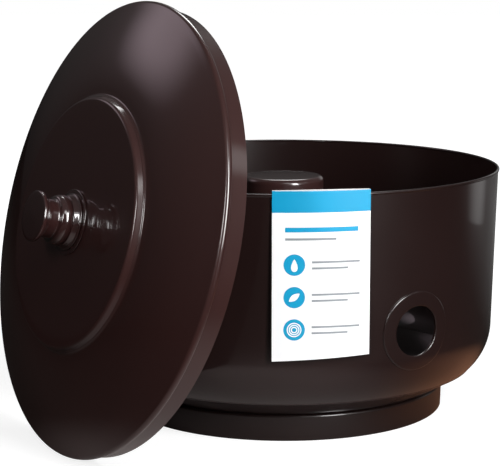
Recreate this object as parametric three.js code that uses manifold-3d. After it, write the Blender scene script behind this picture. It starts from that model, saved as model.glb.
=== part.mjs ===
// A garden hose pot of spun sheet steel, with its lid off and stood on edge, leaning back to it.
//
// The hose winds inside the round bowl, about a centre post, and its end comes out through a hole
// low in the wall. The bowl stands on a base ring. The lid drops into the mouth: its lip rests on
// the rim and its skirt hangs inside. A printed card hooks over the rim.
//
// Millimetres, +Z up. The origin is on the ground at the pot's axis, -Y is the front.
import * as THREE from "three";
import { mergeVertices } from "three/addons/utils/BufferGeometryUtils.js";
import Module from "manifold-3d";

const degrees = THREE.MathUtils.degToRad;

// Driving dimensions
const CLEARANCE = 0.3;

const RIM_OUTER_RADIUS = 232.5;
const RIM_HEIGHT = 261.5;
const RIM_BEAD_RADIUS = 1.6;
const RIM_BEAD_STANDS_OUT = 0.9;
const BOWL_SHEET = 1.4;
const BOWL_WALL_LEAN = degrees(1.7);
const BOWL_CORNER_RADIUS = 62.5;
const BOWL_CORNER_HEIGHT = 93.5;
const BOWL_CORNER_TURN = degrees(49);
const BOWL_UNDERSIDE_HEIGHT = 27.3;
const DRAIN_HOLE_RADIUS = 5;

const HOSE_HOLE_RADIUS = 25.5;
const HOSE_HOLE_HEIGHT = 117.5;
const HOSE_HOLE_TURN = degrees(35.9);
const HOSE_BOSS_RADIUS = 40.5;
const HOSE_BOSS_RISE = 1.6;

const BASE_FOOT_RADIUS = 173.5;
const BASE_SHOULDER_RADIUS = 174.2;
const BASE_SHOULDER_ROUND = 2.5;
const BASE_SHEET = 2;
const BASE_FOOT_LIP = 8;
const BASE_FLANGE_MARGIN = 14;

const POST_RADIUS = 44;
const POST_TOP_HEIGHT = 250.5;
const POST_TOP_CROWN = 1.2;
const POST_SHOULDER_RADIUS = 6;
const POST_SHEET = 1.5;
const POST_FLANGE_RADIUS = 62;

const BASE_BOLT_COUNT = 4;
const BASE_BOLT_INSET = 40.8;
const POST_BOLT_COUNT = 3;
const BOLT_RADIUS = 3;
const BOLT_HEAD_FLATS = 10;
const BOLT_HEAD_HEIGHT = 4;
const BOLT_TAIL = 1.5;
const NUT_FLATS = 10;
const NUT_HEIGHT = 5;

const LID_LIP_RADIUS = 227.6;
const LID_LIP_ROUND = 2.5;
const LID_SKIRT_DEPTH = 22.6;
const LID_SKIRT_TOP_RADIUS = 224.2;
const LID_SKIRT_EDGE_RADIUS = 223.4;
const LID_SHEET = 1.2;
const LID_DOME_RISE = 26;
const LID_DOME_FULLNESS = 1.5;
const LID_DISC_RADIUS = 125;
const LID_DISC_STEP_WIDTH = 5;
const LID_DISC_STEP_RISE = 9;
const LID_DISC_ROUND = 4;
const LID_DISC_CROWN = 1;

const LID_LEAN = degrees(13.7);
const LID_TURN = degrees(31.9);
const LID_FOOT_X = -203.3;
const LID_FOOT_Y = -212.4;

const ROSE_RADIUS = 32.5;
const ROSE_HEIGHT = 1.8;
const KNOB_FOOT_RADIUS = 28.2;
const KNOB_COLLAR_RADIUS = 25.2;
const KNOB_COLLAR_HEIGHT = 7.8;
const KNOB_BEAD_ROUND = 6.8;
const KNOB_NECK_RADIUS = 19;
const KNOB_NECK_FLARE = 1.5;
const KNOB_CAP_RADIUS = 25;
const KNOB_CAP_HEIGHT = 4.8;
const KNOB_CAP_ROUND = 1.2;
const KNOB_CAP_CROWN = 0.7;
const KNOB_HEIGHT = 39.4;
const KNOB_THREAD_DEPTH = 18;
const KNOB_WASHER_RADIUS = 11;
const KNOB_WASHER_SHEET = 1.5;

const CARD_WIDTH = 97;
const CARD_LENGTH = 165.4;
const CARD_END_SLANT = 4.5;
const CARD_SHEET = 0.8;
const CARD_FLAP_LENGTH = 32;
const CARD_FOLD_RISE = 2.4;
const CARD_TURN = degrees(9.3);

const ROUND_SEGMENTS = 60;
const POST_SEGMENTS = 36;
const KNOB_SEGMENTS = 32;
const BOLT_SEGMENTS = 12;

// Materials
const painted = (color, roughness) => new THREE.MeshStandardMaterial({ color, roughness, metalness: 0.3 });
const bowlPaint = () => painted(0x2b211e, 0.34);
const lidPaint = () => painted(0x2d2322, 0.36);
const knobPaint = () => painted(0x2b201f, 0.28);
const zinc = () => new THREE.MeshStandardMaterial({ color: 0xb4b6b8, roughness: 0.4, metalness: 1 });
const card = () => new THREE.MeshStandardMaterial({ color: 0xf4f5f5, roughness: 0.7, metalness: 0 });

// Solids: closed meshes go in and out of the boolean library, which only joins and cuts
const wasm = await Module();
wasm.setup();

function solid(geometry) {
  const bare = geometry.clone();
  bare.deleteAttribute("normal");
  bare.deleteAttribute("uv");
  const merged = mergeVertices(bare, 1e-4);
  const mesh = new wasm.Mesh({
    numProp: 3,
    vertProperties: merged.getAttribute("position").array,
    triVerts: new Uint32Array(merged.index.array),
  });
  return new wasm.Manifold(mesh);
}

function geometryOf(made) {
  const { vertProperties, triVerts } = made.getMesh();
  const geometry = new THREE.BufferGeometry();
  geometry.setAttribute("position", new THREE.BufferAttribute(vertProperties, 3));
  geometry.setIndex(new THREE.BufferAttribute(triVerts, 1));
  geometry.computeVertexNormals();
  return geometry;
}

// A profile of (radius, height) points spun about Z, walked outwards along its underside
function spin(profile, segments) {
  return new THREE.LatheGeometry(profile, segments).rotateX(Math.PI / 2);
}

function rod(radius, low, high, segments) {
  const length = high - low;
  const geometry = new THREE.CylinderGeometry(radius, radius, length, segments);
  return geometry.rotateX(Math.PI / 2).translate(0, 0, (low + high) / 2);
}

function hexagon(flats, boreRadius) {
  const corner = flats / Math.sqrt(3);
  const points = Array.from({ length: 6 }, (_, i) => {
    const angle = (i * Math.PI) / 3;
    return new THREE.Vector2(corner * Math.cos(angle), corner * Math.sin(angle));
  });
  const shape = new THREE.Shape(points);
  if (boreRadius > 0) shape.holes.push(new THREE.Path().absarc(0, 0, boreRadius, 0, 2 * Math.PI, true));
  return shape;
}

const point = (radius, height) => new THREE.Vector2(radius, height);

function arc(radius, height, size, from, to, steps) {
  return Array.from({ length: steps + 1 }, (_, i) => {
    const angle = from + ((to - from) * i) / steps;
    return point(radius + size * Math.cos(angle), height + size * Math.sin(angle));
  });
}

// The points of an open outline moved sideways by a distance, to the left of the way it is walked
function beside(outline, distance) {
  return outline.map((here, i) => {
    const before = outline[Math.max(i - 1, 0)];
    const after = outline[Math.min(i + 1, outline.length - 1)];
    const along = after.clone().sub(before).normalize();
    return point(here.x - along.y * distance, here.y + along.x * distance);
  });
}

// The same number of points spaced evenly about the axis, as [x, y, turn]
function around(count, radius, firstTurn) {
  return Array.from({ length: count }, (_, i) => {
    const turn = firstTurn + (2 * Math.PI * i) / count;
    return [radius * Math.cos(turn), radius * Math.sin(turn), turn];
  });
}

const part = new THREE.Group();

function add(group, name, geometry, material) {
  const mesh = new THREE.Mesh(geometry, material);
  mesh.name = name;
  group.add(mesh);
  return mesh;
}

// Bowl: flat floor, sloping foot, rounded corner, leaning wall and a wired bead at the rim
const bowlFloorTop = BOWL_UNDERSIDE_HEIGHT + BOWL_SHEET;
const rimBeadHeight = RIM_HEIGHT - RIM_BEAD_RADIUS;
const wallTopRadius = RIM_OUTER_RADIUS - RIM_BEAD_STANDS_OUT;
const wallRun = (rimBeadHeight - BOWL_CORNER_HEIGHT) * Math.tan(BOWL_WALL_LEAN);
const cornerRadius = wallTopRadius - wallRun - BOWL_CORNER_RADIUS / Math.cos(BOWL_WALL_LEAN);
const bowlFloorRadius = BASE_SHOULDER_RADIUS - BOWL_SHEET;

// Radius of the wall's outside at a height above the rounded corner
function wallRadius(height) {
  return wallTopRadius - (rimBeadHeight - height) * Math.tan(BOWL_WALL_LEAN);
}

function bowlShell() {
  const corner = (size) =>
    arc(cornerRadius, BOWL_CORNER_HEIGHT, size, -BOWL_CORNER_TURN, -BOWL_WALL_LEAN, 6);
  const outsideCorner = corner(BOWL_CORNER_RADIUS);
  const insideCorner = corner(BOWL_CORNER_RADIUS - BOWL_SHEET).reverse();
  const slope = outsideCorner[0].clone().sub(point(bowlFloorRadius, BOWL_UNDERSIDE_HEIGHT)).angle();
  const beadRadius = RIM_OUTER_RADIUS - RIM_BEAD_RADIUS;
  const beadStart = Math.acos((wallTopRadius - beadRadius) / RIM_BEAD_RADIUS);
  const beadEnd = Math.PI + Math.acos((beadRadius - wallTopRadius + BOWL_SHEET) / RIM_BEAD_RADIUS);
  return [
    point(0, BOWL_UNDERSIDE_HEIGHT),
    point(bowlFloorRadius, BOWL_UNDERSIDE_HEIGHT),
    ...outsideCorner,
    ...arc(beadRadius, rimBeadHeight, RIM_BEAD_RADIUS, -beadStart, beadEnd, 8),
    ...insideCorner,
    point(bowlFloorRadius - BOWL_SHEET * Math.tan(slope / 2), bowlFloorTop),
    point(0, bowlFloorTop),
  ];
}

// The pressed boss around the hose hole: a thicker skin of the wall, kept only near the hole
function hoseBoss() {
  const low = HOSE_HOLE_HEIGHT - HOSE_BOSS_RADIUS - BOWL_SHEET;
  const inside = BOWL_CORNER_RADIUS - BOWL_SHEET / 2;
  const outside = BOWL_CORNER_RADIUS + HOSE_BOSS_RISE;
  const high = HOSE_HOLE_HEIGHT + HOSE_BOSS_RADIUS + BOWL_SHEET;
  const reach = high - BOWL_CORNER_HEIGHT;
  const start = -Math.asin((BOWL_CORNER_HEIGHT - low) / outside);
  const skin = (size) => [
    ...arc(cornerRadius, BOWL_CORNER_HEIGHT, size, start, -BOWL_WALL_LEAN, 4),
    point(cornerRadius + size + reach * Math.tan(BOWL_WALL_LEAN), high),
  ];
  const profile = [...skin(outside), ...skin(inside).reverse()];
  profile.push(profile[0].clone());
  return profile;
}

function throughWall(radius, segments) {
  const middle = wallRadius(HOSE_HOLE_HEIGHT);
  const half = radius + HOSE_BOSS_RISE;
  const tool = new THREE.CylinderGeometry(radius, radius, 2 * half, segments);
  return tool.translate(0, -middle, 0).translate(0, 0, HOSE_HOLE_HEIGHT).rotateZ(HOSE_HOLE_TURN);
}

const baseBoltCircle = bowlFloorRadius - BASE_BOLT_INSET;
const postBoltCircle = (POST_RADIUS + POST_FLANGE_RADIUS) / 2;
const baseBolts = around(BASE_BOLT_COUNT, baseBoltCircle, Math.PI / 4);
const postBolts = around(POST_BOLT_COUNT, postBoltCircle, Math.PI / 2);
const boltHoleRadius = BOLT_RADIUS + CLEARANCE;

function drill(made, places, low, high) {
  const tool = rod(boltHoleRadius, low, high, BOLT_SEGMENTS);
  return places.reduce((left, [x, y]) => left.subtract(solid(tool.clone().translate(x, y, 0))), made);
}

function bowl() {
  const boss = solid(spin(hoseBoss(), ROUND_SEGMENTS)).intersect(solid(throughWall(HOSE_BOSS_RADIUS, 36)));
  const below = BOWL_UNDERSIDE_HEIGHT - BOWL_SHEET;
  const above = bowlFloorTop + BOWL_SHEET;
  const drain = solid(rod(DRAIN_HOLE_RADIUS, below, above, BOLT_SEGMENTS));
  const plain = solid(spin(bowlShell(), ROUND_SEGMENTS)).add(boss);
  const holed = plain.subtract(solid(throughWall(HOSE_HOLE_RADIUS, 36))).subtract(drain);
  return drill(holed, [...baseBolts, ...postBolts], below, above);
}

add(part, "bowl_shell", geometryOf(bowl()), bowlPaint());

// Base ring: an upright band with an inward foot lip, and a flange that carries the bowl's floor
const baseTop = BOWL_UNDERSIDE_HEIGHT - CLEARANCE;
const baseFlangeUnderside = baseTop - BASE_SHEET;
const baseFlangeRadius = baseBoltCircle - BASE_FLANGE_MARGIN;

function baseRing() {
  const shoulder = (size) =>
    arc(BASE_SHOULDER_RADIUS - BASE_SHOULDER_ROUND, baseTop - BASE_SHOULDER_ROUND, size, 0, Math.PI / 2, 3);
  const lipRadius = BASE_FOOT_RADIUS - BASE_FOOT_LIP;
  const profile = [
    point(lipRadius, 0),
    point(BASE_FOOT_RADIUS, 0),
    ...shoulder(BASE_SHOULDER_ROUND),
    point(baseFlangeRadius, baseTop),
    point(baseFlangeRadius, baseFlangeUnderside),
    ...shoulder(BASE_SHOULDER_ROUND - BASE_SHEET).reverse(),
    point(BASE_FOOT_RADIUS - BASE_SHEET, BASE_SHEET),
    point(lipRadius, BASE_SHEET),
    point(lipRadius, 0),
  ];
  const ring = solid(spin(profile, ROUND_SEGMENTS));
  return drill(ring, baseBolts, baseFlangeUnderside - BASE_SHEET, baseTop + BASE_SHEET);
}

add(part, "base_ring", geometryOf(baseRing()), bowlPaint());

// Centre post: a pressed cup turned over, with a flange bolted to the floor
const postFoot = bowlFloorTop + CLEARANCE;
const postFlangeTop = postFoot + POST_SHEET;

function centrePost() {
  const shoulderRadius = POST_RADIUS - POST_SHOULDER_RADIUS;
  const shoulderHeight = POST_TOP_HEIGHT - POST_TOP_CROWN - POST_SHOULDER_RADIUS;
  const shoulder = (size) => arc(shoulderRadius, shoulderHeight, size, 0, Math.PI / 2, 4);
  const profile = [
    point(POST_RADIUS - POST_SHEET, postFoot),
    point(POST_FLANGE_RADIUS, postFoot),
    point(POST_FLANGE_RADIUS, postFlangeTop),
    point(POST_RADIUS, postFlangeTop),
    ...shoulder(POST_SHOULDER_RADIUS),
    point(0, POST_TOP_HEIGHT),
    point(0, POST_TOP_HEIGHT - POST_SHEET),
    ...shoulder(POST_SHOULDER_RADIUS - POST_SHEET).reverse(),
    point(POST_RADIUS - POST_SHEET, postFoot),
  ];
  const post = solid(spin(profile, POST_SEGMENTS));
  return drill(post, postBolts, postFoot - POST_SHEET, postFlangeTop + POST_SHEET);
}

add(part, "centre_post", geometryOf(centrePost()), bowlPaint());

// A hexagon-headed bolt whose shank hangs down from the head's seat at z = 0
function bolt(grip) {
  const head = new THREE.ExtrudeGeometry(hexagon(BOLT_HEAD_FLATS, 0), {
    depth: BOLT_HEAD_HEIGHT,
    bevelEnabled: false,
  });
  const shank = rod(BOLT_RADIUS, -grip, BOLT_HEAD_HEIGHT / 2, BOLT_SEGMENTS);
  return solid(head).add(solid(shank));
}

function nut() {
  const shape = hexagon(NUT_FLATS, boltHoleRadius);
  return new THREE.ExtrudeGeometry(shape, { depth: NUT_HEIGHT, bevelEnabled: false, curveSegments: 6 });
}

// Bolts with their nuts, whose heads sit on one sheet and whose nuts hold another from below
function fasten(name, places, seat, underside) {
  const headSeat = seat + CLEARANCE;
  const nutTop = underside - CLEARANCE;
  const grip = headSeat - (nutTop - NUT_HEIGHT - BOLT_TAIL);
  places.forEach(([x, y, turn], i) => {
    const screw = add(part, `${name}_bolt_${i + 1}`, geometryOf(bolt(grip)), zinc());
    screw.position.set(x, y, headSeat);
    screw.rotation.z = turn;
    const holder = add(part, `${name}_nut_${i + 1}`, nut(), zinc());
    holder.position.set(x, y, nutTop - NUT_HEIGHT);
    holder.rotation.z = turn;
  });
}

fasten("base", baseBolts, bowlFloorTop, baseFlangeUnderside);
fasten("post", postBolts, postFlangeTop, BOWL_UNDERSIDE_HEIGHT);

// Lid, in its own frame: z = 0 is the level of the lip's outermost line, +Z the knob's side
const lid = new THREE.Group();
const lidSkirtBottom = -LID_SKIRT_DEPTH;
const discHeight = LID_DOME_RISE + LID_DISC_STEP_RISE;
const lidTop = discHeight + LID_DISC_CROWN;
const lidBoreRadius = BOLT_RADIUS + CLEARANCE;

// The lid's outside from the bore outwards: disc, rounded step, dome, lip and skirt
function lidOutside() {
  const stepFoot = LID_DISC_RADIUS + LID_DISC_STEP_WIDTH;
  const lipRadius = LID_LIP_RADIUS - LID_LIP_ROUND;
  const domeRun = lipRadius - stepFoot;
  const domeSteps = 5;
  const roundRadius = LID_DISC_RADIUS - LID_DISC_ROUND / 2;
  const lipTop = LID_LIP_ROUND;
  const dome = Array.from({ length: domeSteps }, (_, i) => {
    const share = i / domeSteps;
    const fall = share ** LID_DOME_FULLNESS;
    return point(stepFoot + domeRun * share, lipTop + (LID_DOME_RISE - lipTop) * (1 - fall));
  });
  return [
    point(lidBoreRadius, lidTop),
    point(KNOB_WASHER_RADIUS * 2, lidTop),
    ...arc(roundRadius, discHeight - LID_DISC_ROUND, LID_DISC_ROUND, Math.PI / 2, 0, 2),
    ...dome,
    ...arc(lipRadius, 0, LID_LIP_ROUND, Math.PI / 3, -Math.PI / 3, 3),
    point(LID_SKIRT_TOP_RADIUS, -LID_LIP_ROUND),
    point(LID_SKIRT_EDGE_RADIUS, lidSkirtBottom),
  ];
}

function lidShell() {
  const outside = lidOutside();
  const inside = beside(outside, -LID_SHEET);
  return spin([...inside, ...outside.reverse(), inside[0].clone()], ROUND_SEGMENTS);
}

add(lid, "lid_shell", lidShell(), lidPaint());

// Knob: a rose plate and a turned knob with a collar, a neck and a cap, on a bolt from inside
const roseSeat = lidTop + CLEARANCE;
const knobSeat = roseSeat + ROSE_HEIGHT + CLEARANCE;

function rose() {
  const edge = ROSE_HEIGHT / 2;
  return spin(
    [
      point(lidBoreRadius, roseSeat),
      point(ROSE_RADIUS - edge / 2, roseSeat),
      point(ROSE_RADIUS, roseSeat + edge),
      point(ROSE_RADIUS - edge, roseSeat + ROSE_HEIGHT),
      point(lidBoreRadius, roseSeat + ROSE_HEIGHT),
      point(lidBoreRadius, roseSeat),
    ],
    KNOB_SEGMENTS,
  );
}

function knob() {
  const collarTop = knobSeat + KNOB_COLLAR_HEIGHT;
  const beadRadius = KNOB_COLLAR_RADIUS - CLEARANCE - KNOB_BEAD_ROUND;
  const capTop = knobSeat + KNOB_HEIGHT - KNOB_CAP_CROWN;
  const capBottom = capTop - KNOB_CAP_HEIGHT;
  const beadTop = collarTop + KNOB_BEAD_ROUND;
  const capRoundRadius = KNOB_CAP_RADIUS - KNOB_CAP_ROUND;
  return spin(
    [
      point(lidBoreRadius, knobSeat),
      point(KNOB_FOOT_RADIUS, knobSeat),
      point(KNOB_FOOT_RADIUS, knobSeat + KNOB_CAP_ROUND),
      point(KNOB_COLLAR_RADIUS, collarTop),
      ...arc(beadRadius, collarTop, KNOB_BEAD_ROUND, 0, (Math.PI * 5) / 12, 4),
      point(KNOB_NECK_RADIUS, beadTop + KNOB_NECK_FLARE),
      point(KNOB_NECK_RADIUS, capBottom - KNOB_BEAD_ROUND),
      point(KNOB_NECK_RADIUS + KNOB_NECK_FLARE, capBottom - KNOB_BEAD_ROUND / 2),
      point(capRoundRadius, capBottom),
      point(KNOB_CAP_RADIUS, capBottom + KNOB_CAP_ROUND),
      ...arc(capRoundRadius, capTop - KNOB_CAP_ROUND, KNOB_CAP_ROUND, 0, Math.PI / 2, 2),
      point(0, capTop + KNOB_CAP_CROWN),
      point(0, knobSeat + KNOB_THREAD_DEPTH),
      point(lidBoreRadius, knobSeat + KNOB_THREAD_DEPTH),
      point(lidBoreRadius, knobSeat),
    ],
    KNOB_SEGMENTS,
  );
}

function washer(top) {
  const bottom = top - KNOB_WASHER_SHEET;
  return spin(
    [
      point(lidBoreRadius, bottom),
      point(KNOB_WASHER_RADIUS, bottom),
      point(KNOB_WASHER_RADIUS, top),
      point(lidBoreRadius, top),
      point(lidBoreRadius, bottom),
    ],
    KNOB_SEGMENTS / 2,
  );
}

const washerTop = lidTop - LID_SHEET - CLEARANCE;
const knobBoltSeat = washerTop - KNOB_WASHER_SHEET - CLEARANCE;
const knobBoltGrip = knobSeat + KNOB_THREAD_DEPTH - BOLT_TAIL - knobBoltSeat;

add(lid, "knob_rose", rose(), knobPaint());
add(lid, "knob", knob(), knobPaint());
add(lid, "knob_washer", washer(washerTop), zinc());
const knobBolt = add(lid, "knob_bolt", geometryOf(bolt(knobBoltGrip)), zinc());
knobBolt.rotation.x = Math.PI;
knobBolt.position.z = knobBoltSeat;

// The lid stands on its skirt's edge at a point on the ground and leans back towards the pot
const outwards = new THREE.Vector3(-Math.cos(LID_TURN), -Math.sin(LID_TURN), 0);
const skirtCentre = new THREE.Vector3(LID_FOOT_X, LID_FOOT_Y, 0);
skirtCentre.addScaledVector(outwards, -LID_SKIRT_EDGE_RADIUS * Math.sin(LID_LEAN));
skirtCentre.z = LID_SKIRT_EDGE_RADIUS * Math.cos(LID_LEAN);
const lidAxis = outwards.clone().multiplyScalar(Math.cos(LID_LEAN));
lidAxis.z = Math.sin(LID_LEAN);
lid.quaternion.setFromUnitVectors(new THREE.Vector3(0, 0, 1), lidAxis);
lid.position.copy(skirtCentre).addScaledVector(lidAxis, LID_SKIRT_DEPTH);
part.add(lid);

// Card: one thin sheet that hangs from the rim in front, its flap folded down inside the mouth
function cardSection(endRise) {
  const outer = RIM_OUTER_RADIUS + CLEARANCE;
  const under = RIM_HEIGHT + CARD_FOLD_RISE;
  const top = under + CARD_SHEET;
  const bottom = top - CARD_LENGTH + endRise;
  const flapEnd = top - CARD_FLAP_LENGTH;
  const mouth = Math.min(RIM_OUTER_RADIUS - 2 * RIM_BEAD_RADIUS, wallRadius(flapEnd) - BOWL_SHEET);
  const inner = mouth - 2 * CLEARANCE;
  return [
    [outer, bottom],
    [outer + CARD_SHEET, bottom],
    [outer + CARD_SHEET, top],
    [inner - CARD_SHEET, top],
    [inner - CARD_SHEET, flapEnd],
    [inner, flapEnd],
    [inner, under],
    [outer, under],
  ];
}

// The section bent about the pot's axis over the card's width, closed by its two edges
function hangingCard() {
  const section = cardSection(0);
  const steps = 6;
  const spread = CARD_WIDTH / RIM_OUTER_RADIUS;
  const corners = [];
  for (let i = 0; i <= steps; i++) {
    const share = i / steps - 0.5;
    const turn = CARD_TURN + spread * share;
    for (const [radius, height] of cardSection(CARD_END_SLANT * share)) {
      corners.push(radius * Math.sin(turn), -radius * Math.cos(turn), height);
    }
  }
  const size = section.length;
  const faces = [];
  for (let i = 0; i < steps; i++) {
    for (let k = 0; k < size; k++) {
      const a = i * size + k;
      const b = i * size + ((k + 1) % size);
      faces.push(a, a + size, b, b, a + size, b + size);
    }
  }
  const end = THREE.ShapeUtils.triangulateShape(section.map(([radius, height]) => point(radius, height)), []);
  const last = steps * size;
  for (const [a, b, c] of end) {
    faces.push(a, b, c, last + a, last + c, last + b);
  }
  const geometry = new THREE.BufferGeometry();
  geometry.setAttribute("position", new THREE.Float32BufferAttribute(corners, 3));
  geometry.setIndex(faces);
  geometry.computeVertexNormals();
  return geometry;
}

add(part, "label_card", hangingCard(), card());

export default part;
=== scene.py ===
# %% [markdown]
# # A garden hose pot with its lid off
#
# The object is a round pot of painted steel in which a garden hose is coiled. Spun sheet
# metal has few details to hide behind: its looks come from clean round forms, thin edges
# that catch the light, and glossy dark paint under soft studio lamps. This lesson turns each
# form from an outline, as the metal spinner does, and then spends its time on paint and light.
#
# The fixed frame holds the true sizes. Every piece here is made at its place, in metres.

# %% Load the frame
import math

import bpy
from mathutils import Matrix, Vector


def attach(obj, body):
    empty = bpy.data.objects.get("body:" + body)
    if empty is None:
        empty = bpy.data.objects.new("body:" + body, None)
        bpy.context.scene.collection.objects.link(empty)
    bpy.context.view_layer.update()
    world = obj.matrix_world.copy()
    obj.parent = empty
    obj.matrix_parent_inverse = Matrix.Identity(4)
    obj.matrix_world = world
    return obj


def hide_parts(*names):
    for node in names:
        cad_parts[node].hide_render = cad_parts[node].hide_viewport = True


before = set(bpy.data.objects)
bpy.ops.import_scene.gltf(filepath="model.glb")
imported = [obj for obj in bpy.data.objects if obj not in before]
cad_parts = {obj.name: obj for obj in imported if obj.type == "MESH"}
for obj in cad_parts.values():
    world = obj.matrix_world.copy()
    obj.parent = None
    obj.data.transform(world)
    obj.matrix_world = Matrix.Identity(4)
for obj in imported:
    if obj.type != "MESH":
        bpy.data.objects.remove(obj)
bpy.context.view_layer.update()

# %% [markdown]
# ## The camera
#
# The picture was taken from just above the rim's height, from nearly two metres away, with
# a long lens. A long lens keeps the ellipses of the rim and the base ring nearly alike.
# The camera is made first, so that every later step can be looked at through it.

# %% Camera
CAMERA_PLACE = Vector((0, -1.96713, 0.51314))
CAMERA_DOWN = 0.1652
CAMERA_LEFT = 0.0184
FOCAL_PIXELS = 1826.36
PICTURE_WIDTH_PIXELS = 500
SENSOR_MM = 36

bpy.ops.object.select_all(action="DESELECT")
bpy.ops.object.camera_add(
    location=CAMERA_PLACE, rotation=(math.pi / 2 - CAMERA_DOWN, 0, CAMERA_LEFT)
)
camera = bpy.context.object
camera.name = "camera"
camera.data.sensor_fit = "HORIZONTAL"
camera.data.sensor_width = SENSOR_MM
camera.data.lens = SENSOR_MM * FOCAL_PIXELS / PICTURE_WIDTH_PIXELS
bpy.context.scene.camera = camera
print("lens in mm:", round(camera.data.lens, 1))

# %% [markdown]
# ## Turning a form on a lathe
#
# Nearly every piece is round, so one helper does what a lathe does. It draws an outline of
# (radius, height) points, vertex after vertex, and spins it once round the Z axis. A circle
# extruded ring by ring would work too, but an outline shows the sheet's thickness and its
# rounded edges at a glance. Sizes are in millimetres, as on a workshop drawing.

# %% Outline helpers
MM = 0.001


def arc(radius, height, size, start, end, steps):
    """Points on an arc about (radius, height), with both angles in degrees."""
    angles = [math.radians(start + (end - start) * i / steps) for i in range(steps + 1)]
    return [(radius + size * math.cos(a), height + size * math.sin(a)) for a in angles]


def line(start, end, steps):
    """Points between two ends, both left out, which keep long faces short."""
    shares = [i / steps for i in range(1, steps)]
    return [tuple(a + (b - a) * s for a, b in zip(start, end)) for s in shares]


print("a quarter round of 3 points:", arc(0, 0, 1, 0, 90, 2))

# %% The lathe
SMOOTH_BELOW = math.radians(32)
SEAM = 0.01


def select_only(*pieces):
    """Selects these pieces and nothing else, and makes the last one active."""
    bpy.ops.object.select_all(action="DESELECT")
    for piece in pieces:
        piece.select_set(True)
    bpy.context.view_layer.objects.active = pieces[-1]


def turned(name, outline, steps=192, angle=360):
    """Draws an outline vertex by vertex, spins it about Z and closes its seam."""
    bpy.ops.object.select_all(action="DESELECT")
    bpy.ops.mesh.primitive_plane_add(size=MM)
    piece = bpy.context.object
    piece.name = name
    piece.data.name = name
    bpy.ops.object.mode_set(mode="EDIT")
    bpy.ops.mesh.select_all(action="SELECT")
    bpy.ops.mesh.merge(type="CENTER")
    first_radius, first_height = outline[0]
    bpy.ops.transform.translate(value=(first_radius * MM, 0, first_height * MM))
    for (r0, h0), (r1, h1) in zip(outline, outline[1:]):
        move = {"value": ((r1 - r0) * MM, 0, (h1 - h0) * MM)}
        bpy.ops.mesh.extrude_region_move(TRANSFORM_OT_translate=move)
    bpy.ops.mesh.select_all(action="SELECT")
    turn = math.radians(angle)
    bpy.ops.mesh.spin(steps=steps, angle=turn, center=(0, 0, 0), axis=(0, 0, 1))
    bpy.ops.mesh.select_all(action="SELECT")
    bpy.ops.mesh.remove_doubles(threshold=SEAM * MM)
    bpy.ops.mesh.normals_make_consistent(inside=False)
    bpy.ops.object.mode_set(mode="OBJECT")
    bpy.ops.object.shade_smooth_by_angle(angle=SMOOTH_BELOW)
    return piece


def settled(piece, matrix):
    """Moves a finished piece to its place and leaves its object at the origin."""
    select_only(piece)
    piece.matrix_world = matrix
    bpy.ops.object.transform_apply(location=True, rotation=True, scale=True)
    return piece


def dressed(piece, body, slot, *nodes):
    """Says which body a piece rides on and hides the CAD nodes it stands for; its slot is not
    used.
    """
    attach(piece, body)
    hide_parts(*nodes)
    print(piece.name, len(piece.data.polygons), "faces")


print("edges are smooth below", round(math.degrees(SMOOTH_BELOW)), "degrees")

# %% [markdown]
# ## The bowl
#
# The bowl is one sheet, spun over a former: a flat floor, a sloping foot, a rounded corner, a
# wall that leans out by under two degrees, and a bead rolled at the rim. The bead makes the
# thin bright line round the mouth, so it gets real roundness and not just a sharp edge. The
# spinner's tool leaves a second, finer ridge where the corner meets the foot.

# %% Bowl sizes
RIM_RADIUS = 232.45
RIM_HEIGHT = 261.5
BEAD = 1.6
BEAD_STANDS_OUT = 0.9
BEAD_START, BEAD_END = -75, 240
SHEET = 1.4
WALL_LEAN = 1.7
CORNER = 62.5
CORNER_HEIGHT = 93.5
CORNER_TURN = 49
UNDERSIDE = 27.3
FLOOR_RADIUS = 172.8
FLOOR_ROUND = 1
DRAIN = 5

bead_height = RIM_HEIGHT - BEAD
bead_radius = RIM_RADIUS - BEAD
wall_top = RIM_RADIUS - BEAD_STANDS_OUT
lean = math.radians(WALL_LEAN)
wall_run = (bead_height - CORNER_HEIGHT) * math.tan(lean)
corner_centre = wall_top - wall_run - CORNER / math.cos(lean)
floor_top = UNDERSIDE + SHEET
print("corner's centre in mm:", round(corner_centre, 1))

# %% Bowl
RIDGE = 1.3
RIDGE_INSET = 0.8
RIDGE_BELOW, RIDGE_ABOVE = 50, 138
RIDGE_COVERS = 1
CORNER_STEPS = 28
WALL_STEPS = 22
FOOT_STEPS = 6

corner_at = (corner_centre, CORNER_HEIGHT)
outer_corner = arc(*corner_at, CORNER, -CORNER_TURN + RIDGE_COVERS, -WALL_LEAN, CORNER_STEPS)
inner_corner = arc(*corner_at, CORNER - SHEET, -WALL_LEAN, -CORNER_TURN, CORNER_STEPS)
ridge_at = arc(*corner_at, CORNER - RIDGE_INSET, -CORNER_TURN, 0, 1)[0]
foot_slope = math.degrees(math.atan2(ridge_at[1] - UNDERSIDE, ridge_at[0] - FLOOR_RADIUS))
ridge = arc(*ridge_at, RIDGE, foot_slope - 90 - RIDGE_BELOW, CORNER_TURN - 90 + RIDGE_ABOVE, 12)
bead = arc(bead_radius, bead_height, BEAD, BEAD_START, BEAD_END, 18)
floor_round_at = (FLOOR_RADIUS - FLOOR_ROUND, UNDERSIDE + FLOOR_ROUND)
foot_edge = (FLOOR_RADIUS, UNDERSIDE)
inner_edge = (FLOOR_RADIUS - SHEET * math.tan(math.radians(foot_slope / 2)), floor_top)
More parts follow.
